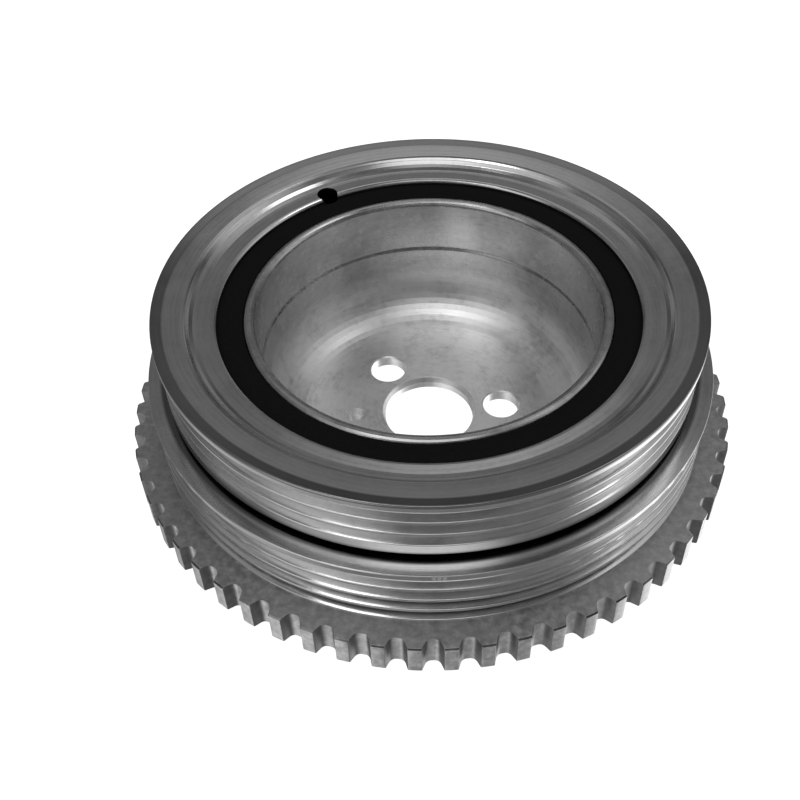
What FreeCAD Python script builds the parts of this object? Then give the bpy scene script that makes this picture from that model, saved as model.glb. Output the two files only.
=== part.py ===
import FreeCAD, Part
import math
import os

# Crankshaft harmonic balancer: a drawn steel hub cup, a toothed belt pulley
# pressed on the lower half of the cup, and a second belt pulley carried on
# the upper half by a bonded rubber ring, which lets it act as the damper.
# Millimetres. The turning axis is Z, the hub's back face lies at Z = 0.

# Hub cup, drawn from sheet
cup_outer_r = 42.2
cup_wall = 3.1
cup_floor = 3.2
cup_height = 37.8
cup_corner_r = 10.8
mouth_wall = 2.7
mouth_depth = 14.0
mouth_step_height = 0.8
rim_rounding = 1.3

# Holes in the hub's floor
bore_r = 11.0
bore_edge = 0.2
bore_lead = 0.6
bore_lead_depth = 1.3
bolt_circle_r = 18.15
bolt_hole_r = 4.45
bolt_hole_edge = 0.3
bolt_count = 3
bolt_start_deg = 5.5
locating_hole_r = 2.2
locating_hole_depth = 2.0
locating_deg = 185.5

# Belt grooves, common to both pulleys
rib_pitch = 3.56
rib_tip_width = 0.70
groove_depth = 3.1
groove_half_angle_deg = 20.0
rib_rounding = 0.18
groove_rounding = 0.2

# Toothed ring at the foot of the lower pulley
hub_proud = 0.8
tooth_tip_r = 72.0
tooth_depth = 2.5
tooth_tip_width = 2.86
tooth_floor_width = 2.62
tooth_root_rounding = 1.5
tooth_ring_width = 8.15
tooth_edge = 0.35
tooth_lower_edge = 0.2
tooth_count = 60
tooth_start_deg = 3.3
teeth_before_gap_count = 7
missing_count = 2

# Lower pulley, one piece with the toothed ring
lower_rib_r = 65.2
lower_groove_count = 4
lower_foot_land = 0.25
lower_flange_r = 65.6
lower_flange_width = 2.32
lower_flange_land = 1.4
lower_flange_edge = 0.2
lower_bore_edge = 0.8

# Timing marks, small slanted flats in the lower flange's edge
mark_count = 3
mark_width = 0.75
mark_spacing = 1.09
mark_depth = 0.2
mark_height = 1.4
mark_first_deg = 270.5

# Damper ring, the upper pulley
pulley_gap = 1.34
upper_rib_r = 61.4
upper_groove_count = 3
bottom_flange_width = 2.9
bottom_flange_edge = 0.3
top_flange_r = 62.1
top_flange_width = 3.02
top_flange_land = 1.8
top_flange_edge = 0.3
lip_width = 2.0
lip_rise = 0.55
cone_rise = 0.72
cone_width = 4.8
crest_rounding = 1.4
step_height = 2.29
step_width = 1.62
step_fillet = 4.0
face_edge = 1.0

# Rubber ring between the cup and the damper ring
rubber_thickness = 5.7
rubber_top_drop = 1.05
rubber_crown = 0.4
rubber_crown_rounding = 6.0
rubber_foot_recess = 0.9

# Balance hole drilled from the damper ring's face
balance_hole_r = 2.6
balance_hole_circle_r = 49.5
balance_hole_depth = 7.0
balance_hole_deg = 120.9
drill_point_deg = 118.0

# Cutters run this far past the faces that they cut through
overrun = 1.0

groove_mouth = rib_pitch - rib_tip_width
tooth_ring_top = hub_proud + tooth_ring_width
lower_groove_span = lower_groove_count * rib_pitch - rib_tip_width
lower_groove_start = tooth_ring_top + lower_foot_land
lower_top = lower_groove_start + lower_groove_span + lower_flange_width
upper_bottom = lower_top + pulley_gap
upper_groove_start = upper_bottom + bottom_flange_width
upper_groove_span = upper_groove_count * rib_pitch - rib_tip_width
upper_top = upper_groove_start + upper_groove_span + top_flange_width
rubber_outer_r = cup_outer_r + rubber_thickness
tooth_root_r = tooth_tip_r - tooth_depth
tooth_step_deg = 360.0 / tooth_count


def corner(before, at, after, rounding):
    """Tangent points and middle of the arc that rounds one corner."""
    here = FreeCAD.Vector(at)
    back = (FreeCAD.Vector(before) - here).normalize()
    ahead = (FreeCAD.Vector(after) - here).normalize()
    half = back.getAngle(ahead) / 2
    reach = rounding / math.tan(half)
    inward = (back + ahead).normalize()
    middle = here + inward * (rounding / math.sin(half) - rounding)
    return here + back * reach, middle, here + ahead * reach


def outline(points):
    """Closed wire through (position, rounding) corners."""
    edges = []
    count = len(points)
    spans = []
    for index, (at, rounding) in enumerate(points):
        before = points[index - 1][0]
        after = points[(index + 1) % count][0]
        if rounding:
            spans.append(corner(before, at, after, rounding))
        else:
            spans.append((at, None, at))
    for index, (start, middle, end) in enumerate(spans):
        if middle:
            edges.append(Part.Arc(start, middle, end).toShape())
        following = spans[(index + 1) % count][0]
        if end.distanceToPoint(following) > 1e-6:
            edges.append(Part.LineSegment(end, following).toShape())
    return Part.Wire(edges)


def turned(section):
    """Solid of revolution about Z from (radius, height, rounding) corners."""
    points = [(FreeCAD.Vector(r, 0, z), rounding) for r, z, rounding in section]
    face = Part.Face(outline(points))
    return face.revolve(FreeCAD.Vector(0, 0, 0), FreeCAD.Vector(0, 0, 1), 360)


def around(shape, angle_deg):
    """Copy of a shape turned about the axis."""
    copy = shape.copy()
    copy.rotate(FreeCAD.Vector(0, 0, 0), FreeCAD.Vector(0, 0, 1), angle_deg)
    return copy


def polar(radius, angle_deg, height):
    """Point at a radius, angle and height."""
    angle = math.radians(angle_deg)
    return FreeCAD.Vector(radius * math.cos(angle), radius * math.sin(angle), height)


def groove_corners(rib_r, start, count):
    """Corners of a run of V grooves, from the lowest groove upwards."""
    depth_taper = groove_depth * math.tan(math.radians(groove_half_angle_deg))
    floor_r = rib_r - groove_depth
    corners = []
    for index in range(count):
        low = start + index * rib_pitch
        high = low + groove_mouth
        corners.append((rib_r, low, rib_rounding))
        corners.append((floor_r, low + depth_taper, groove_rounding))
        corners.append((floor_r, high - depth_taper, groove_rounding))
        corners.append((rib_r, high, rib_rounding))
    return corners


def hub_blank():
    """The drawn cup before its floor is pierced."""
    mouth_r = cup_outer_r - mouth_wall
    wall_r = cup_outer_r - cup_wall
    step_z = cup_height - mouth_depth
    return turned([
        (0, 0, 0),
        (cup_outer_r, 0, cup_corner_r + cup_floor),
        (cup_outer_r, cup_height, rim_rounding),
        (mouth_r, cup_height, rim_rounding),
        (mouth_r, step_z, 0),
        (wall_r, step_z - mouth_step_height, 0),
        (wall_r, cup_floor, cup_corner_r),
        (0, cup_floor, 0),
    ])


def through_hole(radius, edge):
    """Cutter for a hole through the floor with both edges broken."""
    return turned([
        (0, -edge, 0),
        (radius + 2 * edge, -edge, 0),
        (radius, edge, 0),
        (radius, cup_floor - edge, 0),
        (radius + 2 * edge, cup_floor + edge, 0),
        (0, cup_floor + edge, 0),
    ])


def centre_bore():
    """Cutter for the bore: a tapered lead-in above a straight seat."""
    return turned([
        (0, -bore_edge, 0),
        (bore_r + 2 * bore_edge, -bore_edge, 0),
        (bore_r, bore_edge, 0),
        (bore_r, cup_floor - bore_lead_depth, 0),
        (bore_r + 2 * bore_lead, cup_floor + bore_lead_depth, 0),
        (0, cup_floor + bore_lead_depth, 0),
    ])


def locating_hole():
    """Cutter for the blind locating hole in the floor's upper face."""
    foot = cup_floor - locating_hole_depth
    hole = Part.makeCylinder(locating_hole_r, locating_hole_depth + overrun)
    hole.translate(polar(bolt_circle_r, locating_deg, foot))
    return hole


def make_hub_cup():
    """Drawn cup with its bore, bolt holes and locating hole."""
    cutters = [centre_bore(), locating_hole()]
    bolt_hole = through_hole(bolt_hole_r, bolt_hole_edge)
    for index in range(bolt_count):
        hole = bolt_hole.copy()
        angle = bolt_start_deg + index * 360.0 / bolt_count
        hole.translate(polar(bolt_circle_r, angle, 0))
        cutters.append(hole)
    return hub_blank().cut(cutters)


def pulley_blank():
    """Turned lower pulley and tooth ring before the teeth are cut."""
    section = [
        (cup_outer_r + lower_bore_edge, hub_proud, 0),
        (tooth_tip_r - tooth_lower_edge, hub_proud, 0),
        (tooth_tip_r, hub_proud + tooth_lower_edge, 0),
        (tooth_tip_r, tooth_ring_top - tooth_edge, 0),
        (tooth_tip_r - tooth_edge, tooth_ring_top, 0),
    ]
    section.append((lower_rib_r, tooth_ring_top, 0))
    section += groove_corners(lower_rib_r, lower_groove_start, lower_groove_count)
    section += [
        (lower_flange_r, lower_top - lower_flange_land, rib_rounding),
        (lower_flange_r, lower_top, lower_flange_edge),
        (cup_outer_r, lower_top, 0),
        (cup_outer_r, hub_proud + lower_bore_edge, 0),
    ]
    return turned(section)


def tooth_space():
    """Cutter for one gap between two teeth, centred on +X."""
    half_floor = tooth_floor_width / 2
    pitch_at_tip = 2 * math.pi * tooth_tip_r / tooth_count
    half_mouth = (pitch_at_tip - tooth_tip_width) / 2
    widening = (half_mouth - half_floor) * overrun / tooth_depth
    foot = hub_proud - overrun
    outer_r = tooth_tip_r + overrun
    half_outer = half_mouth + widening
    wire = outline([
        (FreeCAD.Vector(tooth_root_r, -half_floor, foot), tooth_root_rounding),
        (FreeCAD.Vector(outer_r, -half_outer, foot), 0),
        (FreeCAD.Vector(outer_r, half_outer, foot), 0),
        (FreeCAD.Vector(tooth_root_r, half_floor, foot), tooth_root_rounding),
    ])
    height = tooth_ring_width + 2 * overrun
    return Part.Face(wire).extrude(FreeCAD.Vector(0, 0, height))


def missing_teeth():
    """Cutter that takes out the teeth of the reference gap."""
    height = tooth_ring_width + 2 * overrun
    foot = FreeCAD.Vector(0, 0, hub_proud - overrun)
    up = FreeCAD.Vector(0, 0, 1)
    sweep = missing_count * tooth_step_deg
    sector = Part.makeCylinder(tooth_tip_r + overrun, height, foot, up, sweep)
    sector = sector.cut(Part.makeCylinder(tooth_root_r, height, foot))
    start = tooth_start_deg + (teeth_before_gap_count - 0.5) * tooth_step_deg
    return around(sector, start)


def timing_mark():
    """Cutter for one slanted flat in the flange's edge, on +X."""
    inner_r = lower_flange_r - mark_depth
    outer_r = lower_flange_r + overrun
    foot_z = lower_top - mark_height
    top_z = lower_top + overrun
    side = -mark_width / 2
    wire = Part.makePolygon([
        FreeCAD.Vector(inner_r, side, lower_top),
        FreeCAD.Vector(lower_flange_r, side, foot_z),
        FreeCAD.Vector(outer_r, side, foot_z),
        FreeCAD.Vector(outer_r, side, top_z),
        FreeCAD.Vector(inner_r, side, top_z),
        FreeCAD.Vector(inner_r, side, lower_top),
    ])
    return Part.Face(wire).extrude(FreeCAD.Vector(0, mark_width, 0))


def make_toothed_pulley():
    """Lower pulley with its tooth ring and timing marks."""
    space = tooth_space()
    cutters = [missing_teeth()]
    for index in range(tooth_count):
        angle = tooth_start_deg + (index + 0.5) * tooth_step_deg
        cutters.append(around(space, angle))
    mark = timing_mark()
    mark_step_deg = math.degrees(mark_spacing / lower_flange_r)
    for index in range(mark_count):
        cutters.append(around(mark, mark_first_deg + index * mark_step_deg))
    return pulley_blank().cut(cutters)


def balance_hole():
    """Cutter for the drilled balance hole, with its drill point."""
    land_z = damper_land_z()
    foot = land_z - balance_hole_depth
    point = balance_hole_r / math.tan(math.radians(drill_point_deg / 2))
    hole = turned([
        (0, foot - point, 0),
        (balance_hole_r, foot, 0),
        (balance_hole_r, land_z + overrun, 0),
        (0, land_z + overrun, 0),
    ])
    hole.translate(polar(balance_hole_circle_r, balance_hole_deg, 0))
    return hole


def damper_land_z():
    """Height of the flat land round the damper ring's inner edge."""
    return upper_top - lip_rise - cone_rise - step_height


def make_damper_ring():
    """Upper pulley, with the stepped and coned face of its inertia ring."""
    land_z = damper_land_z()
    lip_r = top_flange_r - top_flange_edge - lip_width
    crest_r = lip_r - cone_width
    crest_z = land_z + step_height
    section = [
        (rubber_outer_r, upper_bottom, 0),
        (upper_rib_r, upper_bottom, bottom_flange_edge),
    ]
    section += groove_corners(upper_rib_r, upper_groove_start, upper_groove_count)
    section += [
        (top_flange_r, upper_top - top_flange_land, rib_rounding),
        (top_flange_r, upper_top, top_flange_edge),
        (lip_r, upper_top - lip_rise, 0),
        (crest_r, crest_z, crest_rounding),
        (crest_r - step_width, land_z, step_fillet),
        (rubber_outer_r, land_z, face_edge),
    ]
    return turned(section).cut(balance_hole())


def make_rubber_ring():
    """Bonded rubber ring, crowned on top, that carries the damper ring."""
    edge_z = damper_land_z() - rubber_top_drop - rubber_crown
    foot_z = upper_bottom + rubber_foot_recess
    crown_r = cup_outer_r + rubber_thickness / 2
    ring = turned([
        (cup_outer_r, foot_z, 0),
        (rubber_outer_r, foot_z, 0),
        (rubber_outer_r, edge_z, 0),
        (crown_r, edge_z + rubber_crown, rubber_crown_rounding),
        (cup_outer_r, edge_z, 0),
    ])
    return ring.cut(balance_hole())


def main():
    os.makedirs("parts", exist_ok=True)
    pieces = {
        "hub_cup": make_hub_cup(),
        "toothed_pulley": make_toothed_pulley(),
        "damper_ring": make_damper_ring(),
        "rubber_ring": make_rubber_ring(),
    }
    for name, shape in pieces.items():
        shape.exportStep("parts/" + name + ".step")
        box = shape.BoundBox
        print(name, shape.isValid(), len(shape.Solids), round(shape.Volume / 1000, 2),
              "cm3, z", round(box.ZMin, 2), "to", round(box.ZMax, 2))


main()
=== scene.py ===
import math

import bpy
import bmesh
from mathutils import Matrix, Vector


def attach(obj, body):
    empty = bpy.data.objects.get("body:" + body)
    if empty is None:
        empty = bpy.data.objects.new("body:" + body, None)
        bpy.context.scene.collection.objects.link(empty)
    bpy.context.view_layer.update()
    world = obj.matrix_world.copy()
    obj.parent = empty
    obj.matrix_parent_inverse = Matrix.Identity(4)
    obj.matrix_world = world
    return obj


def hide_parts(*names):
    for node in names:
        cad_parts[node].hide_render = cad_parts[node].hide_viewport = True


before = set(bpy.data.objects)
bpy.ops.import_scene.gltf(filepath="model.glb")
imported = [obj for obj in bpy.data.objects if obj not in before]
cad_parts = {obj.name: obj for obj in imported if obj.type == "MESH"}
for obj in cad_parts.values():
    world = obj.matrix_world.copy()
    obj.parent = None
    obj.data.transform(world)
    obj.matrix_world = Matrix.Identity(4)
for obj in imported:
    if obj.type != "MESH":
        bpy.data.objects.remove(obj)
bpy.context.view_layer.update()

# Sizes in millimetres, angles in degrees; the meshes are made in metres
MM = 0.001

# Hub cup
CUP_R = 42.2
CUP_WALL = 3.1
CUP_FLOOR = 3.2
CUP_HEIGHT = 37.8
CUP_CORNER = 10.8
MOUTH_WALL = 2.7
MOUTH_STEP_TOP = 23.8
MOUTH_STEP_FOOT = 23.0
MOUTH_STEP_ROUNDING = 0.4
RIM_ROUNDING = 1.3
BORE_R = 11.0
BORE_EDGE = 0.2
BORE_LEAD = 0.6
BORE_LEAD_DEPTH = 1.3
BORE_FOOT_ROUNDING = 0.05
BORE_LEAD_ROUNDING = 0.15
BOLT_CIRCLE_R = 18.15
BOLT_HOLE_R = 4.45
BOLT_HOLES = 3
BOLT_EDGE = 0.3
BOLT_START = 5.5
LOCATING_R = 2.2
LOCATING_DEPTH = 2.0
LOCATING_FOOT_EDGE = 0.25
LOCATING_EDGE = 0.15
LOCATING_ANGLE = 185.5

# Belt grooves
RIB_PITCH = 3.56
RIB_TIP = 0.70
GROOVE_MOUTH = RIB_PITCH - RIB_TIP
GROOVE_DEPTH = 3.1
GROOVE_TAPER = GROOVE_DEPTH * math.tan(math.radians(20))
RIB_ROUNDING = 0.18
GROOVE_ROUNDING = 0.2

# Tooth ring and lower pulley
RING_FOOT = 0.8
RING_TOP = 8.95
TIP_R = 72.0
TOOTH_DEPTH = 2.5
ROOT_R = TIP_R - TOOTH_DEPTH
TOOTH_PLACES = 60
TOOTH_STEP = 360 / TOOTH_PLACES
TOOTH_START = 3.3
TOOTH_TIP_WIDTH = 2.86
TOOTH_FLOOR_WIDTH = 2.62
TOOTH_ROOT_ROUNDING = 1.5
TOOTH_TOP_EDGE = 0.35
TOOTH_FOOT_EDGE = 0.2
TOOTH_EDGE_ROUNDING = 0.12
RIB_FOOT_ROUNDING = 0.08
PULLEY_BORE_LEAD = 0.8
MISSING_TEETH = (7, 8)
LOWER_RIB_R = 65.2
LOWER_GROOVES = 4
LOWER_GROOVE_START = 9.2
LOWER_FLANGE_R = 65.6
LOWER_TOP = 25.06
LOWER_FLANGE_EDGE = 0.2
MARK_ANGLES = (270.5, 271.45, 272.4)
MARK_WIDTH = 0.75
MARK_DEPTH = 0.2
MARK_HEIGHT = 1.4
MARK_FOOT = LOWER_TOP - MARK_HEIGHT

# Damper ring
RING_BOTTOM = 26.4
BOTTOM_EDGE = 0.3
INNER_EDGE = 0.2
UPPER_RIB_R = 61.4
UPPER_GROOVES = 3
UPPER_GROOVE_START = 29.3
TOP_FLANGE_R = 62.1
TOP_FLANGE_LAND = 40.5
TOP_EDGE = 0.3
FACE_TOP = 42.3
LIP_R = 59.8
LIP_Z = 41.75
LIP_ROUNDING = 0.2
CREST_R = 55.0
CREST_Z = 41.03
CREST_ROUNDING = 1.4
LAND_Z = 38.74
STEP_FOOT_R = 53.38
STEP_FILLET = 3.95
LAND_EDGE = 1.0

# Rubber ring and balance hole
RUBBER_R = 47.9
RUBBER_FOOT = 27.3
RUBBER_EDGE = 37.29
RUBBER_CROWN = 37.69
CROWN_ROUNDING = 6.0
BALANCE_R = 2.6
BALANCE_CIRCLE_R = 49.5
BALANCE_ANGLE = 120.9
BALANCE_FOOT = 31.74
DRILL_POINT_ANGLE = 59
DRILL_POINT_R = 0.02

# Camera, as fitted to the photograph: the tooth ring's lower face is the
# plane it was fitted on, and its tip radius the unit
FOCAL_PIXELS = 1061.94
FRAME_PIXELS = 800
AXIS_PIXEL = (428.95, 416.18)
CAMERA_ELEVATION = 0.81460
CAMERA_DISTANCE = 3.7256
CAMERA_ROLL = 0.0093


SMOOTH_ANGLE = math.radians(42)


def rounded(section, steps=4):
    """Polyline through (radius, height, rounding) corners of a closed section."""
    points = []
    count = len(section)
    for index, (r, z, rounding) in enumerate(section):
        at = Vector((r, z))
        if not rounding:
            points.append(at)
            continue
        back = (Vector(section[index - 1][:2]) - at).normalized()
        ahead = (Vector(section[(index + 1) % count][:2]) - at).normalized()
        half = back.angle(ahead) / 2
        centre = at + (back + ahead).normalized() * (rounding / math.sin(half))
        start = at + back * (rounding / math.tan(half)) - centre
        turn = start.angle_signed(at + ahead * (rounding / math.tan(half)) - centre)
        arc = max(2, round(steps * max(1, rounding / 1.5) ** 0.5 * abs(turn) / 1.57))
        for step in range(arc + 1):
            points.append(centre + Matrix.Rotation(-turn * step / arc, 2) @ start)
    return points


def supported(points, reach=0.06):
    """Adds points close to the ends of each long straight run."""
    result = []
    for index, at in enumerate(points):
        following = points[(index + 1) % len(points)]
        run = following - at
        result.append(at)
        if run.length > 6 * reach:
            result.append(at + run.normalized() * reach)
            result.append(following - run.normalized() * reach)
    return result


def lathe(name, section, columns, place=None):
    """Mesh object of a closed section turned about Z at the given angles."""
    profile = supported(rounded(section))
    mesh = bmesh.new()
    rows = []
    for angle in columns:
        a = math.radians(angle)
        ring = []
        for r, z in profile:
            if place:
                r, z = place(angle, r, z)
            co = Vector((r * math.cos(a), r * math.sin(a), z)) * MM
            ring.append(mesh.verts.new(co))
        rows.append(ring)
    for i, ring in enumerate(rows):
        other = rows[(i + 1) % len(rows)]
        for j in range(len(ring)):
            k = (j + 1) % len(ring)
            mesh.faces.new((ring[j], other[j], other[k], ring[k]))
    bmesh.ops.recalc_face_normals(mesh, faces=mesh.faces)
    return finished(name, mesh)


def finished(name, mesh):
    """Object from a bmesh, smooth except at true corners."""
    data = bpy.data.meshes.new(name)
    mesh.to_mesh(data)
    mesh.free()
    obj = bpy.data.objects.new(name, data)
    bpy.context.collection.objects.link(obj)
    data.shade_smooth()
    data.set_sharp_from_angle(angle=SMOOTH_ANGLE)
    return obj


def even(count, start=0.0):
    """Evenly spaced angles round the axis."""
    return [start + 360 * i / count for i in range(count)]


def groove_run(rib_r, start, count):
    """Section corners of a run of V grooves, from the lowest upwards."""
    corners = []
    for index in range(count):
        low = start + index * RIB_PITCH
        high = low + GROOVE_MOUTH
        corners.append((rib_r, low, RIB_ROUNDING))
        corners.append((rib_r - GROOVE_DEPTH, low + GROOVE_TAPER, GROOVE_ROUNDING))
        corners.append((rib_r - GROOVE_DEPTH, high - GROOVE_TAPER, GROOVE_ROUNDING))
        corners.append((rib_r, high, RIB_ROUNDING))
    return corners


def drill(obj, x, y, profile, segments=64):
    """Cuts a turned hole with the given (radius, height) profile at x, y."""
    mesh = bmesh.new()
    rings = []
    for r, z in profile:
        ring = []
        for i in range(segments):
            a = 2 * math.pi * i / segments
            co = Vector((x + r * math.cos(a), y + r * math.sin(a), z)) * MM
            ring.append(mesh.verts.new(co))
        rings.append(ring)
    for low, high in zip(rings, rings[1:]):
        for i in range(segments):
            j = (i + 1) % segments
            mesh.faces.new((low[i], low[j], high[j], high[i]))
    mesh.faces.new(rings[0])
    mesh.faces.new(rings[-1])
    bmesh.ops.recalc_face_normals(mesh, faces=mesh.faces)
    cutter = finished("cutter", mesh)
    cut = obj.modifiers.new("hole", "BOOLEAN")
    cut.object = cutter
    cut.solver = "EXACT"
    bpy.context.view_layer.update()
    seen = obj.evaluated_get(bpy.context.evaluated_depsgraph_get())
    data = bpy.data.meshes.new_from_object(seen)
    old = obj.data
    obj.modifiers.remove(cut)
    obj.data = data
    data.name = obj.name
    data.set_sharp_from_angle(angle=SMOOTH_ANGLE)
    bpy.data.meshes.remove(old)
    bpy.data.objects.remove(cutter)


def polar(radius, angle):
    """Plan position at a radius and an angle."""
    a = math.radians(angle)
    return radius * math.cos(a), radius * math.sin(a)


def make_hub():
    """Drawn hub cup with a rounded rim and a pierced floor."""
    mouth_r = CUP_R - MOUTH_WALL
    wall_r = CUP_R - CUP_WALL
    hub = lathe("hub_cup_body", [
        (BORE_R + BORE_EDGE, 0, BORE_FOOT_ROUNDING),
        (CUP_R, 0, CUP_CORNER + CUP_FLOOR),
        (CUP_R, CUP_HEIGHT, RIM_ROUNDING),
        (mouth_r, CUP_HEIGHT, RIM_ROUNDING),
        (mouth_r, MOUTH_STEP_TOP, MOUTH_STEP_ROUNDING),
        (wall_r, MOUTH_STEP_FOOT, MOUTH_STEP_ROUNDING),
        (wall_r, CUP_FLOOR, CUP_CORNER),
        (BORE_R + BORE_LEAD, CUP_FLOOR, BORE_LEAD_ROUNDING),
        (BORE_R, CUP_FLOOR - BORE_LEAD_DEPTH, BORE_LEAD_ROUNDING),
        (BORE_R, BORE_EDGE, BORE_FOOT_ROUNDING),
    ], even(360))
    wide = BOLT_HOLE_R + 2 * BOLT_EDGE
    for angle in even(BOLT_HOLES, BOLT_START):
        x, y = polar(BOLT_CIRCLE_R, angle)
        drill(hub, x, y, [
            (wide, -BOLT_EDGE),
            (BOLT_HOLE_R, BOLT_EDGE),
            (BOLT_HOLE_R, CUP_FLOOR - BOLT_EDGE),
            (wide, CUP_FLOOR + BOLT_EDGE),
        ])
    x, y = polar(BOLT_CIRCLE_R, LOCATING_ANGLE)
    foot = CUP_FLOOR - LOCATING_DEPTH
    drill(hub, x, y, [
        (LOCATING_R - LOCATING_FOOT_EDGE, foot),
        (LOCATING_R, foot + LOCATING_FOOT_EDGE),
        (LOCATING_R, CUP_FLOOR - LOCATING_EDGE),
        (LOCATING_R + 2 * LOCATING_EDGE, CUP_FLOOR + LOCATING_EDGE),
    ], 40)
    return hub


def tooth_columns():
    """Angles round the tooth ring, with the contour radius at each."""
    half_floor = TOOTH_FLOOR_WIDTH / 2
    half_mouth = (math.tau * TIP_R / TOOTH_PLACES - TOOTH_TIP_WIDTH) / 2
    steep = math.atan2(TOOTH_DEPTH, half_mouth - half_floor)
    centre_x = half_floor - TOOTH_ROOT_ROUNDING * math.tan(steep / 2)
    half_gap = []
    for step in range(7):
        turn = steep * step / 6
        half_gap.append((centre_x + TOOTH_ROOT_ROUNDING * math.sin(turn),
                         TOOTH_ROOT_ROUNDING * (1 - math.cos(turn))))
    for share in (0.55, 0.94):
        x = half_floor + (half_mouth - half_floor) * share
        half_gap.append((x, TOOTH_DEPTH * share))
    half_gap.append((half_mouth + 0.03, TOOTH_DEPTH - 0.03))
    half_gap.append((half_mouth + 0.13, TOOTH_DEPTH))
    half_gap.append((half_mouth + TOOTH_TIP_WIDTH / 3, TOOTH_DEPTH))
    contour = []
    for index in range(TOOTH_PLACES):
        centre = TOOTH_START + (index + 0.5) * TOOTH_STEP
        for side, tooth in ((-1, index), (1, index + 1)):
            gone = tooth in MISSING_TEETH
            for x, rise in half_gap:
                r = ROOT_R + rise
                offset = math.degrees(x / r)
                contour.append((centre + side * offset, ROOT_R if gone else r))
    contour.sort()
    return contour


def make_pulley():
    """Toothed lower pulley, with its timing marks."""
    contour = tooth_columns()
    tip_at = dict(contour)
    half_mark = math.degrees(MARK_WIDTH / 2 / LOWER_FLANGE_R)
    for angle in MARK_ANGLES:
        for offset in (-half_mark, half_mark):
            for shift in (-0.01, 0.01):
                edge = angle + offset + shift
                tip_at[edge] = radius_at(contour, edge)
    columns = sorted(tip_at)

    def place(angle, r, z):
        r = min(r, tip_at[angle])
        marked = any(abs(angle - mark) < half_mark for mark in MARK_ANGLES)
        if marked and z > MARK_FOOT:
            flat_r = LOWER_FLANGE_R - MARK_DEPTH * (z - MARK_FOOT) / MARK_HEIGHT
            r = min(r, flat_r)
        return r, z

    section = [
        (CUP_R + PULLEY_BORE_LEAD, RING_FOOT, 0),
        (TIP_R, RING_FOOT, TOOTH_FOOT_EDGE),
        (TIP_R, RING_TOP - TOOTH_TOP_EDGE, TOOTH_EDGE_ROUNDING),
        (TIP_R - TOOTH_TOP_EDGE, RING_TOP, TOOTH_EDGE_ROUNDING),
        (LOWER_RIB_R, RING_TOP, RIB_FOOT_ROUNDING),
    ]
    section += groove_run(LOWER_RIB_R, LOWER_GROOVE_START, LOWER_GROOVES)
    section += [
        (LOWER_FLANGE_R, MARK_FOOT, RIB_ROUNDING),
        (LOWER_FLANGE_R, LOWER_TOP, LOWER_FLANGE_EDGE),
        (CUP_R, LOWER_TOP, 0),
        (CUP_R, RING_FOOT + PULLEY_BORE_LEAD, 0),
    ]
    return lathe("toothed_pulley_body", section, columns, place)


def radius_at(contour, angle):
    """Contour radius at an angle between two of its columns."""
    for (a, ra), (b, rb) in zip(contour, contour[1:]):
        if a <= angle <= b:
            return ra + (rb - ra) * (angle - a) / (b - a)
    return ROOT_R


def make_damper():
    """Damper ring with its stepped face and balance hole."""
    section = [
        (RUBBER_R, RING_BOTTOM, INNER_EDGE),
        (UPPER_RIB_R, RING_BOTTOM, BOTTOM_EDGE),
    ]
    section += groove_run(UPPER_RIB_R, UPPER_GROOVE_START, UPPER_GROOVES)
    section += [
        (TOP_FLANGE_R, TOP_FLANGE_LAND, RIB_ROUNDING),
        (TOP_FLANGE_R, FACE_TOP, TOP_EDGE),
        (LIP_R, LIP_Z, LIP_ROUNDING),
        (CREST_R, CREST_Z, CREST_ROUNDING),
        (STEP_FOOT_R, LAND_Z, STEP_FILLET),
        (RUBBER_R, LAND_Z, LAND_EDGE),
    ]
    damper = lathe("damper_ring_body", section, even(480))
    balance_cut(damper)
    return damper


def balance_cut(obj):
    """Cuts the drilled balance hole into a piece."""
    x, y = polar(BALANCE_CIRCLE_R, BALANCE_ANGLE)
    point = BALANCE_R / math.tan(math.radians(DRILL_POINT_ANGLE))
    drill(obj, x, y, [
        (DRILL_POINT_R, BALANCE_FOOT - point),
        (BALANCE_R, BALANCE_FOOT),
        (BALANCE_R, LAND_Z + 1),
    ])


def make_rubber():
    """Rubber ring, crowned on top."""
    crown_r = (CUP_R + RUBBER_R) / 2
    rubber = lathe("rubber_ring_body", [
        (CUP_R, RUBBER_FOOT, 0),
        (RUBBER_R, RUBBER_FOOT, 0),
        (RUBBER_R, RUBBER_EDGE, 0),
        (crown_r, RUBBER_CROWN, CROWN_ROUNDING),
        (CUP_R, RUBBER_EDGE, 0),
    ], even(360))
    balance_cut(rubber)
    return rubber


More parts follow.
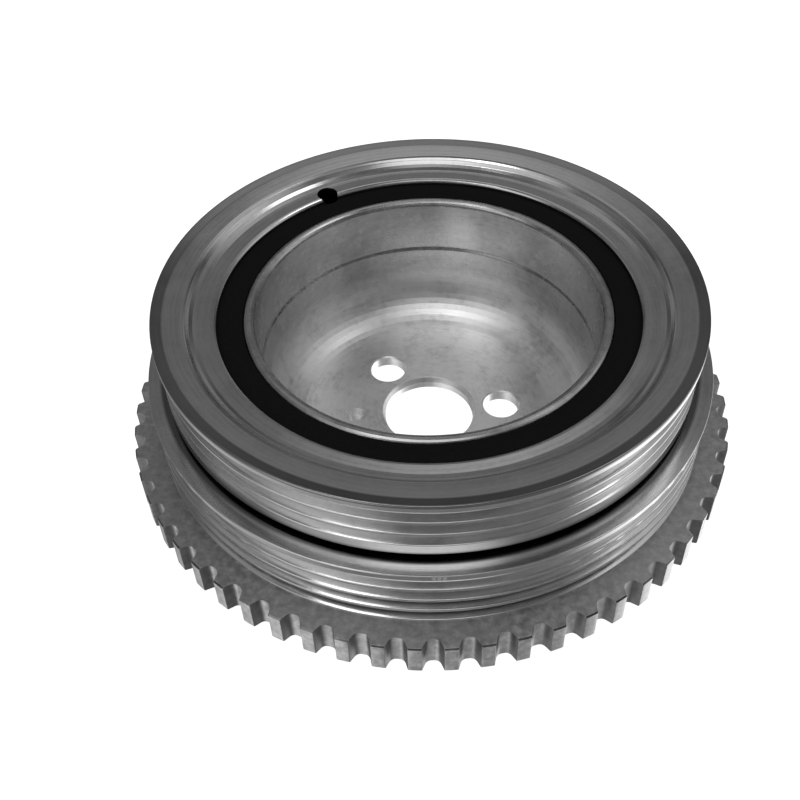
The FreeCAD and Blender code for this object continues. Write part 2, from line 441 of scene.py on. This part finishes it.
class Nodes:
    """A material's node tree, written as short calls."""

    def __init__(self, name):
        self.material = bpy.data.materials.new(name)
        self.material.use_nodes = True
        self.tree = self.material.node_tree
        self.shader = self.tree.nodes["Principled BSDF"]

    def new(self, kind, **values):
        node = self.tree.nodes.new(kind)
        for key, value in values.items():
            setattr(node, key, value)
        return node

    def link(self, source, target):
        self.tree.links.new(source, target)

    def math(self, operation, a, b=None):
        node = self.new("ShaderNodeMath", operation=operation)
        for socket, value in zip(node.inputs, (a, b)):
            if isinstance(value, (int, float)):
                socket.default_value = value
            elif value is not None:
                self.link(value, socket)
        return node.outputs[0]

    def millimetres(self):
        """Object coordinates in millimetres."""
        coords = self.new("ShaderNodeTexCoord")
        scale = self.new("ShaderNodeVectorMath", operation="SCALE")
        scale.inputs["Scale"].default_value = 1 / MM
        self.link(coords.outputs["Object"], scale.inputs[0])
        return scale.outputs[0]

    def turned(self, around):
        """Coordinates that run along the turning marks: radius, height, angle."""
        x, y, r, z = self.position()
        # The angle's seam is avoided by using x / r and y / r
        join = self.new("ShaderNodeCombineXYZ")
        self.link(self.math("ADD", r, self.math("MULTIPLY", z, 1.37)), join.inputs[0])
        self.link(self.math("MULTIPLY", self.math("DIVIDE", x, r), around), join.inputs[1])
        self.link(self.math("MULTIPLY", self.math("DIVIDE", y, r), around), join.inputs[2])
        return join.outputs[0]

    def noise(self, vector, scale, detail=3.0, roughness=0.5):
        node = self.new("ShaderNodeTexNoise")
        node.inputs["Scale"].default_value = scale
        node.inputs["Detail"].default_value = detail
        node.inputs["Roughness"].default_value = roughness
        self.link(vector, node.inputs["Vector"])
        return node.outputs["Fac"]

    def ramp(self, fac, stops):
        """Grey ramp through (position, value) stops."""
        node = self.new("ShaderNodeValToRGB")
        elements = node.color_ramp.elements
        while len(elements) < len(stops):
            elements.new(0.5)
        for element, (position, value) in zip(elements, stops):
            element.position = position
            element.color = (value, value, value, 1)
        self.link(fac, node.inputs[0])
        return node.outputs[0]

    def mix(self, fac, a, b, blend="MIX"):
        node = self.new("ShaderNodeMix", data_type="RGBA", blend_type=blend)
        if isinstance(fac, (int, float)):
            node.inputs[0].default_value = fac
        else:
            self.link(fac, node.inputs[0])
        self.link(a, node.inputs[6])
        self.link(b, node.inputs[7])
        return node.outputs[2]

    def blend(self, parts):
        """Weighted sum of (value, weight) pairs."""
        total = None
        for value, weight in parts:
            share = self.math("MULTIPLY", value, weight)
            total = self.math("ADD", total, share) if total else share
        return total

    def position(self):
        """X, Y, distance from the axis and height, in millimetres."""
        split = self.new("ShaderNodeSeparateXYZ")
        self.link(self.millimetres(), split.inputs[0])
        x, y, z = split.outputs
        r = self.math("SQRT", self.math("ADD", self.math("MULTIPLY", x, x),
                                        self.math("MULTIPLY", y, y)))
        return x, y, r, z

    def place(self):
        """Distance from the axis and height, in millimetres."""
        return self.position()[2:]

    def falling(self, value, low, high):
        """1 at the low value, 0 at the high one, straight between."""
        return self.math("SUBTRACT", 1.0, self.rising(value, low, high))

    def rising(self, value, low, high):
        """0 at the low value, 1 at the high one, straight between."""
        node = self.new("ShaderNodeMapRange")
        node.inputs["From Min"].default_value = low
        node.inputs["From Max"].default_value = high
        self.link(value, node.inputs["Value"])
        return node.outputs["Result"]

    def below(self, height):
        """1 under a height in millimetres and 0 over it."""
        return self.math("LESS_THAN", self.place()[1], height)

    def facing(self):
        """How far the surface faces up or down, and how far sideways round the axis."""
        coords = self.new("ShaderNodeTexCoord")
        out = self.new("ShaderNodeVectorMath", operation="MULTIPLY")
        out.inputs[1].default_value = (1, 1, 0)
        self.link(coords.outputs["Object"], out.inputs[0])
        unit = self.new("ShaderNodeVectorMath", operation="NORMALIZE")
        self.link(out.outputs[0], unit.inputs[0])
        across = self.new("ShaderNodeVectorMath", operation="DOT_PRODUCT")
        self.link(unit.outputs[0], across.inputs[0])
        self.link(coords.outputs["Normal"], across.inputs[1])
        split = self.new("ShaderNodeSeparateXYZ")
        self.link(coords.outputs["Normal"], split.inputs[0])
        upward = self.math("ABSOLUTE", split.outputs[2])
        outward = self.math("ABSOLUTE", across.outputs["Value"])
        sideways = self.math("SUBTRACT", self.math("SUBTRACT", 1.0, upward), outward)
        return upward, sideways

    def bump(self, height, strength, distance):
        node = self.new("ShaderNodeBump")
        node.inputs["Strength"].default_value = strength
        node.inputs["Distance"].default_value = distance * MM
        self.link(height, node.inputs["Height"])
        self.link(node.outputs[0], self.shader.inputs["Normal"])

    def brushed(self, amount):
        """Stretches the gloss across marks that run round the axis."""
        tangent = self.new("ShaderNodeTangent", direction_type="RADIAL", axis="Z")
        self.link(tangent.outputs[0], self.shader.inputs["Tangent"])
        self.shader.inputs["Anisotropic"].default_value = amount
        self.shader.inputs["Anisotropic Rotation"].default_value = 0.25

    def set(self, **values):
        for key, value in values.items():
            self.shader.inputs[key.replace("_", " ").title()].default_value = value


def turned_metal(name, tone, roughness, matte_below=None):
    """Turned iron: fine marks round the axis, soft stains and grey variation.

    Below the height matte_below, in millimetres, the surface is duller and
    mottled, its worn edges are smooth, and painted shade darkens the sides of
    the teeth, the flat faces and the edge bevels; above it, painted shade
    darkens the lowest grooves and the top under the damper ring's edge.
    Without that height, it is the damper ring's iron, with painted shade on
    its outer lip and inside the balance hole.
    """
    n = Nodes(name)
    n.set(metallic=1.0)
    marks = n.noise(n.turned(2.5), 3.2, 3.0, 0.7)
    rings = n.noise(n.turned(0.4), 0.9, 2.0, 0.5)
    stains = n.noise(n.millimetres(), 0.11, 5.0, 0.6)
    specks = n.noise(n.millimetres(), 1.1, 3.0, 0.6)
    shade = n.blend([(marks, 0.3), (rings, 0.3), (stains, 0.25), (specks, 0.15)])
    colour = n.ramp(shade, [(0.36, tone * 0.8), (0.5, tone), (0.64, min(1, tone * 1.12))])
    gloss = n.ramp(stains, [(0.35, roughness * 0.85), (0.65, roughness * 1.2)])
    height = marks
    if matte_below is None:
        # Painted shade darkens the outer lip and the inside of the balance hole
        colour = n.mix(1.0, colour, damper_painted_shade(n), "MULTIPLY")
    else:
        mask = n.below(matte_below)
        mottle = n.noise(n.millimetres(), 0.55, 6.0, 0.65)
        matte_tone_and_painted_shade = n.ramp(mottle, [(0.35, tone * 0.9), (0.5, tone * 1.15), (0.65, tone * 1.45)])
        # Painted shade: the sides of the teeth darken to 0.35 and faces turned up or down to
        # 0.72
        upward, sideways = n.facing()
        side = n.ramp(sideways, [(0.05, 1.0), (0.3, 0.35)])
        painted_top_shade = n.ramp(upward, [(0.0, 1.0), (0.2, 1.0), (0.9, 0.72)])
        matte_tone_and_painted_shade = n.mix(1.0, n.mix(1.0, matte_tone_and_painted_shade, painted_top_shade, "MULTIPLY"), side, "MULTIPLY")
        # Painted shade: edge bevels facing half up darken to 0.45; they also get a smoother
        # gloss
        edge = n.math("LESS_THAN", n.math("ABSOLUTE", n.math("SUBTRACT", upward, 0.6)), 0.32)
        matte_tone_and_painted_shade = n.mix(1.0, matte_tone_and_painted_shade, n.ramp(edge, [(0.0, 1.0), (1.0, 0.45)]), "MULTIPLY")
        dull = n.ramp(mottle, [(0.35, 0.42), (0.65, 0.6)])
        smooth = n.ramp(mottle, [(0.35, 0.16), (0.65, 0.2)])
        # Painted shade darkens the lowest grooves and the pulley's top under the damper
        # ring's edge
        colour = n.mix(mask, n.mix(1.0, colour, pulley_painted_shade(n), "MULTIPLY"), matte_tone_and_painted_shade)
        gloss = n.mix(mask, gloss, n.mix(edge, dull, smooth))
        height = n.mix(mask, marks, mottle)
    n.link(colour, n.shader.inputs["Base Color"])
    n.link(gloss, n.shader.inputs["Roughness"])
    n.bump(height, 0.12, 0.02)
    n.brushed(0.35)
    return n.material


def damper_painted_shade(n):
    """Painted shade on the lip round the face, inside the balance hole and on the bore below
    the land.
    """
    r, z = n.place()
    # Painted shade: the lip darkens to 0.45 and the inside of the hole to 0.1
    lip = n.math("MULTIPLY", n.rising(r, LIP_R - 0.4, LIP_R),
                 n.rising(z, FACE_TOP - 0.9, FACE_TOP - 0.7))
    inside = n.falling(r, STEP_FOOT_R - 1.2, STEP_FOOT_R - 0.8)
    hole = n.math("MULTIPLY", inside, n.falling(z, LAND_Z - 2.5, LAND_Z - 0.3))
    return n.mix(1.0, n.ramp(lip, [(0.0, 1.0), (1.0, 0.45)]),
                 n.ramp(hole, [(0.0, 1.0), (1.0, 0.1)]), "MULTIPLY")


def pulley_painted_shade(n):
    """Painted shade in the lowest grooves and on the pulley's top under the damper ring's
    edge.
    """
    r, z = n.place()
    # Painted shade: deep parts of the lowest grooves and the top inboard darken to 0.3
    deep = n.falling(r, LOWER_RIB_R - 1.5, LOWER_RIB_R - 0.6)
    low = n.falling(z, RING_TOP + 5.5, RING_TOP + 8.5)
    grooves = n.math("MULTIPLY", deep, low)
    inboard = n.falling(r, UPPER_RIB_R + 1.0, UPPER_RIB_R + 1.7)
    top = n.rising(z, LOWER_TOP - 0.4, LOWER_TOP - 0.2)
    dark = n.math("MAXIMUM", grooves, n.math("MULTIPLY", inboard, top))
    return n.ramp(dark, [(0.0, 1.0), (1.0, 0.3)])


def drawn_steel(name):
    """Drawn sheet steel of the cup, mottled with faint stains."""
    n = Nodes(name)
    n.set(metallic=1.0)
    cloud = n.noise(n.millimetres(), 0.1, 5.0, 0.6)
    mottle = n.noise(n.millimetres(), 0.5, 5.0, 0.65)
    fine = n.noise(n.turned(4.0), 1.8, 3.0, 0.6)
    shade = n.blend([(cloud, 0.4), (mottle, 0.35), (fine, 0.25)])
    r, z = n.place()
    # Painted shade: the cup's walls darken to 0.56 of the floor's grey from 4 to 14 mm above
    # the floor
    painted_wall_shade = n.ramp(n.rising(z, CUP_FLOOR + 4, CUP_FLOOR + 14), [(0.0, 1.0), (1.0, 0.56)])
    steel = n.ramp(shade, [(0.36, 0.66), (0.5, 0.92), (0.6, 1.0)])
    n.link(n.mix(1.0, steel, painted_wall_shade, "MULTIPLY"), n.shader.inputs["Base Color"])
    gloss = n.ramp(n.blend([(cloud, 0.5), (mottle, 0.5)]), [(0.35, 0.2), (0.65, 0.32)])
    corner = n.ramp(n.rising(z, CUP_FLOOR + 1, CUP_FLOOR + 12),
                    [(0.0, 0.14), (0.6, 0.14), (1.0, 0.0)])
    n.link(n.mix(1.0, gloss, corner, "ADD"), n.shader.inputs["Roughness"])
    n.bump(n.blend([(mottle, 0.6), (fine, 0.4)]), 0.06, 0.03)
    n.brushed(0.4)
    return n.material


def black_rubber(name):
    """Dull black rubber with a fine grain."""
    n = Nodes(name)
    n.set(metallic=0.0)
    n.shader.inputs["Specular IOR Level"].default_value = 0.1
    grain = n.noise(n.millimetres(), 2.2, 4.0, 0.6)
    n.link(n.ramp(grain, [(0.3, 0.004), (0.7, 0.01)]), n.shader.inputs["Base Color"])
    n.link(n.ramp(grain, [(0.3, 0.6), (0.7, 0.8)]), n.shader.inputs["Roughness"])
    n.bump(grain, 0.4, 0.08)
    return n.material


def dress(piece, node, material):
    """Puts a finished piece in its CAD node's place."""
    piece.data.materials.clear()
    piece.data.materials.append(material)
    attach(piece, "root")
    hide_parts(node)


def make_camera():
    """Camera at the photograph's viewpoint."""
    e = CAMERA_ELEVATION
    base = Matrix(((1, 0, 0), (0, math.sin(e), math.cos(e)), (0, -math.cos(e), math.sin(e))))
    middle = FRAME_PIXELS / 2
    axis_ray = Vector((
        (AXIS_PIXEL[0] - middle) / FOCAL_PIXELS,
        (middle - AXIS_PIXEL[1]) / FOCAL_PIXELS,
        -1,
    ))
    shift = Vector((0, 0, -1)).rotation_difference(axis_ray).to_matrix()
    roll = Matrix.Rotation(CAMERA_ROLL, 3, "Z")
    turn = (roll @ shift @ base).transposed()
    place = Vector((0, -math.cos(e), math.sin(e))) * (CAMERA_DISTANCE * TIP_R * MM)
    place.z += RING_FOOT * MM
    data = bpy.data.cameras.new("camera")
    data.lens = FOCAL_PIXELS / FRAME_PIXELS * data.sensor_width
    data.clip_start = 0.01
    data.clip_end = 50
    camera = bpy.data.objects.new("camera", data)
    camera.matrix_world = Matrix.Translation(place) @ turn.to_4x4()
    bpy.context.collection.objects.link(camera)
    bpy.context.scene.camera = camera


def make_light(name, place, aim, size, power):
    """Soft rectangular studio light."""
    data = bpy.data.lights.new(name, "AREA")
    data.shape = "RECTANGLE"
    data.size, data.size_y = size
    data.energy = power
    light = bpy.data.objects.new(name, data)
    light.location = place
    direction = Vector(aim) - Vector(place)
    light.rotation_euler = direction.to_track_quat("-Z", "Y").to_euler()
    bpy.context.collection.objects.link(light)


def make_surround(sky, lobes):
    """Studio surround: brightness by elevation, with soft patches added.

    The sky is given as (elevation, strength) stops, and each patch as its
    azimuth, elevation, inner and outer reach in degrees, and strength.
    """
    world = bpy.data.worlds.new("surround")
    world.use_nodes = True
    bpy.context.scene.world = world
    tree = world.node_tree
    coords = tree.nodes.new("ShaderNodeTexCoord")
    split = tree.nodes.new("ShaderNodeSeparateXYZ")
    tree.links.new(coords.outputs["Generated"], split.inputs[0])
    angle = tree.nodes.new("ShaderNodeMath")
    angle.operation = "ARCSINE"
    tree.links.new(split.outputs["Z"], angle.inputs[0])
    share = tree.nodes.new("ShaderNodeMapRange")
    share.inputs["From Min"].default_value = -math.pi / 2
    share.inputs["From Max"].default_value = math.pi / 2
    tree.links.new(angle.outputs[0], share.inputs["Value"])
    ramp = tree.nodes.new("ShaderNodeValToRGB")
    elements = ramp.color_ramp.elements
    while len(elements) < len(sky):
        elements.new(0.5)
    for element, (elevation, strength) in zip(elements, sky):
        element.position = (elevation + 90) / 180
        element.color = (strength, strength, strength, 1)
    tree.links.new(share.outputs["Result"], ramp.inputs[0])
    total = ramp.outputs[0]
    for azimuth, elevation, inner, outer, strength in lobes:
        a, e = math.radians(azimuth), math.radians(elevation)
        dot = tree.nodes.new("ShaderNodeVectorMath")
        dot.operation = "DOT_PRODUCT"
        dot.inputs[1].default_value = (
            math.cos(a) * math.cos(e), math.sin(a) * math.cos(e), math.sin(e))
        tree.links.new(coords.outputs["Generated"], dot.inputs[0])
        patch = tree.nodes.new("ShaderNodeMapRange")
        patch.interpolation_type = "SMOOTHSTEP"
        patch.inputs["From Min"].default_value = math.cos(math.radians(outer))
        patch.inputs["From Max"].default_value = math.cos(math.radians(inner))
        patch.inputs["To Min"].default_value = 0
        patch.inputs["To Max"].default_value = strength
        tree.links.new(dot.outputs["Value"], patch.inputs["Value"])
        add = tree.nodes.new("ShaderNodeMath")
        add.operation = "ADD"
        tree.links.new(total, add.inputs[0])
        tree.links.new(patch.outputs["Result"], add.inputs[1])
        total = add.outputs[0]
    background = tree.nodes["Background"]
    background.inputs["Color"].default_value = (1, 1, 1, 1)
    tree.links.new(total, background.inputs["Strength"])


def make_studio():
    """White floor, soft lights and a surround."""
    mesh = bmesh.new()
    bmesh.ops.create_grid(mesh, x_segments=1, y_segments=1, size=4.0)
    floor = finished("studio_floor", mesh)
    n = Nodes("floor_white")
    n.set(base_color=(0.8, 0.8, 0.8, 1), roughness=1.0, emission_strength=0.85)
    n.shader.inputs["Emission Color"].default_value = (1, 1, 1, 1)
    n.shader.inputs["Specular IOR Level"].default_value = 0.0
    floor.data.materials.append(n.material)
    floor.visible_glossy = False

    make_light("light_left", (-0.16, -0.14, 0.54), (0, 0, 0), (0.13, 0.13), 0.2)
    make_light("light_right", (0.26, 0.06, 0.52), (0, 0, 0), (0.13, 0.13), 0.1)
    make_surround([
        (-90, 0.3), (-70, 0.25), (-55, 0.2), (-42, 0.25), (-30, 0.7), (-18, 0.1),
        (6, 0.25), (20, 0.06), (32, 0.2), (44, 0.14), (47, 0.16), (51, 0.32),
        (56, 0.36), (61, 0.3), (67, 0.14), (90, 0.08),
    ], [
        (25, -47, 12, 36, 1.3),
        (180, -55, 6, 28, 0.3),
        (0, -25, 6, 28, 0.9),
        (232, -25, 8, 30, 0.9),
        (0, 10, 6, 28, 0.4),
        (225, 10, 6, 28, 0.5),
        (10, 40, 8, 30, 0.35),
        (225, 40, 6, 28, 0.5),
        (80, 58, 4, 16, 0.25),
        (270, 60, 6, 23, 1.1),
    ])
    bpy.context.scene.view_settings.view_transform = "Standard"


make_camera()
make_studio()
steel = drawn_steel("steel_drawn")
iron_low = turned_metal("iron_turned_low", 0.6, 0.15, RING_TOP + 0.1)
iron_top = turned_metal("iron_turned_top", 0.62, 0.15)
rubber = black_rubber("rubber_black")
dress(make_hub(), "hub_cup", steel)
dress(make_pulley(), "toothed_pulley", iron_low)
dress(make_damper(), "damper_ring", iron_top)
dress(make_rubber(), "rubber_ring", rubber)
